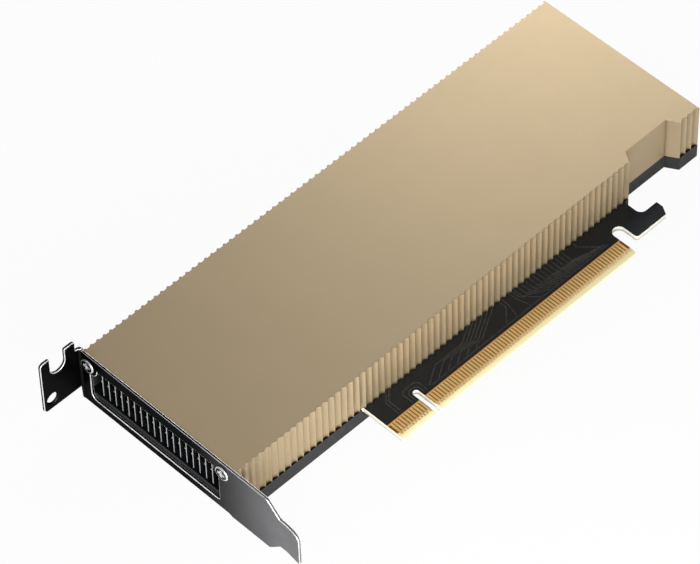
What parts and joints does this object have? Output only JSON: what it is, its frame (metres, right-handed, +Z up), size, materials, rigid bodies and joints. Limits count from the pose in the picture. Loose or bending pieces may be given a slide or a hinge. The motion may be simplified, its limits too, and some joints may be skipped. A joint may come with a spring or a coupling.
{
  "type": "passive accelerator card",
  "caption": "Low-profile single-slot passive accelerator card: fluted metal cover over a finned heat sink, edge-connector board, back tray and slot bracket with an exhaust window.",
  "frame": {"origin": "middle of the board's thickness at the edge connector's key, on the tongue's lower edge", "axes": "+X from the slot bracket to the far end, +Y from the edge connector to the card's long top edge, +Z up out of the component side; the card lies flat on its back tray"},
  "size_m": [0.1809, 0.0793, 0.024],
  "materials": {
    "bracket_black": "black nickel plated steel, glossy",
    "screw_steel": "bright plated steel",
    "cover_gold": "satin champagne anodised",
    "tray_black": "satin black",
    "film": "matt insulating film",
    "board_black": "semi-gloss solder mask",
    "contact_gold": "gold plated",
    "fin_aluminium": "bare aluminium",
    "base_copper": "bare copper",
    "package_green": "laminate",
    "silicon": "polished silicon",
    "spring_steel": "rolled sheet",
    "chip_black": "moulded epoxy",
    "thermal_pad": "soft silicone",
    "inductor_grey": "pressed ferrite",
    "capacitor_tan": "ceramic"
  },
  "bodies": {
    "root": {"io_bracket": "bracket_black", "bracket_screws": "screw_steel", "cover": "cover_gold", "back_tray": "tray_black", "tray_screws": "screw_steel", "insulating_film": "film", "circuit_board": "board_black", "contacts_front": "contact_gold", "contacts_back": "contact_gold", "heatsink_fins": "fin_aluminium", "heatsink_base": "base_copper", "gpu_package": "package_green", "gpu_die": "silicon", "gpu_stiffener": "spring_steel", "thermal_paste": "thermal_pad", "core_clamp": "spring_steel", "core_screws": "screw_steel", "memory_chips": "chip_black", "memory_pads": "thermal_pad", "power_stages": "chip_black", "power_stage_pads": "thermal_pad", "power_inductors": "inductor_grey", "polymer_capacitors": "chip_black", "ceramic_capacitors": "capacitor_tan", "firmware_chip": "chip_black", "crystal": "spring_steel"}
  },
  "joints": []
}
